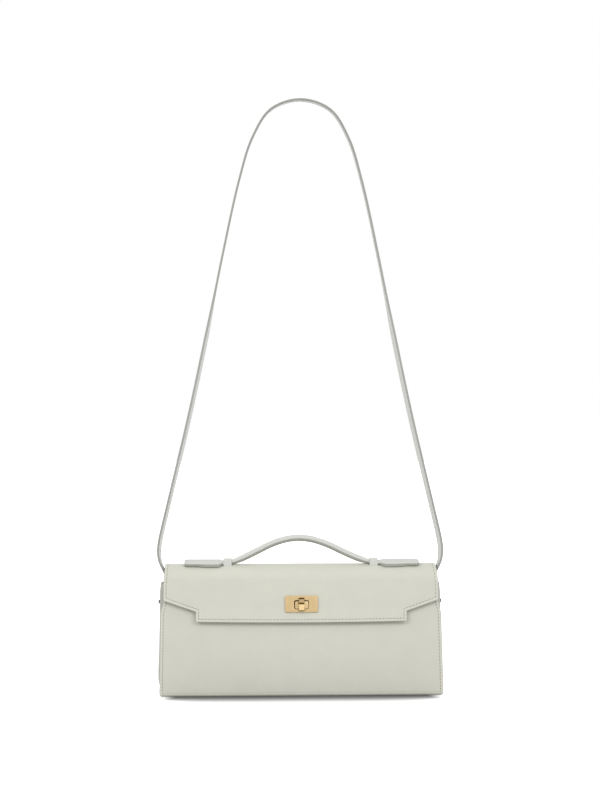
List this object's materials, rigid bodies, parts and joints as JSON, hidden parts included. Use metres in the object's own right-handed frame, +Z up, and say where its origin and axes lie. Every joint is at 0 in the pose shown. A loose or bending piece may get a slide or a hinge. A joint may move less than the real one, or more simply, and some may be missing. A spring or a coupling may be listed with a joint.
{
  "type": "clutch bag",
  "caption": "Wide wedge-shaped leather clutch with a stepped flap, a turn lock, a rolled top handle and a long flat shoulder strap.",
  "frame": {"origin": "centre of the base, on the ground", "axes": "+Z up, -Y out of the front with the flap and the lock, +X to the right seen from the front"},
  "size_m": [0.274, 0.0598, 0.5701],
  "materials": {
    "leather": "smooth calf, pale sage",
    "lining": "matt suede cloth",
    "board": "bonded fibre board",
    "gold": "polished gold plating",
    "gunmetal": "dark plated steel",
    "cord": "twisted cotton cord"
  },
  "bodies": {
    "bag_body": {"front_panel": "leather", "front_board": "board", "front_lining": "lining", "back_panel": "leather", "back_board": "board", "back_lining": "lining", "base_panel": "leather", "base_board": "board", "base_lining": "lining", "gusset_left": "leather", "gusset_right": "leather", "strap_end_left": "leather", "strap_end_right": "leather", "strap_rivet_left": "gunmetal", "strap_rivet_right": "gunmetal", "strap_rivet_cap_left": "gunmetal", "strap_rivet_cap_right": "gunmetal", "lock_base": "gold", "lock_base_backing": "gold", "lock_base_screw_left": "gold", "lock_base_screw_right": "gold", "lock_spring_washer": "gold"},
    "flap": {"flap_leather": "leather", "flap_lining": "lining", "lock_plate": "gold", "lock_plate_backing_left": "gold", "lock_plate_backing_right": "gold", "lock_plate_screw_left": "gold", "lock_plate_screw_right": "gold", "handle_keeper_left": "leather", "handle_keeper_right": "leather", "handle_tab_left": "leather", "handle_tab_right": "leather"},
    "handle": {"handle_grip": "leather", "handle_core": "cord"},
    "turn_knob": {"lock_knob": "gold", "lock_spindle": "gold", "lock_clip": "gold"},
    "strap": {"shoulder_strap": "leather"}
  },
  "joints": [
    {"name": "flap_hinge", "type": "hinge", "parent": "bag_body", "child": "flap", "pos_m": [0, 0.017, 0.1066], "axis": [-1, 0, 0], "range_deg": [0, 115]},
    {"name": "lock_turn", "type": "hinge", "parent": "bag_body", "child": "turn_knob", "pos_m": [0, -0.0165, 0.085], "axis": [0, -0.9866, 0.1633], "range_deg": [0, 90]},
    {"name": "handle_tilt", "type": "hinge", "parent": "flap", "child": "handle", "pos_m": [0, -0.0043, 0.1258], "axis": [1, 0, 0], "range_deg": [-45, 45], "stiffness_Nm_per_rad": 0.01},
    {"name": "strap_swing", "type": "hinge", "parent": "bag_body", "child": "strap", "pos_m": [0, 0, 0.113], "axis": [1, 0, 0], "range_deg": [-85, 85]}
  ]
}
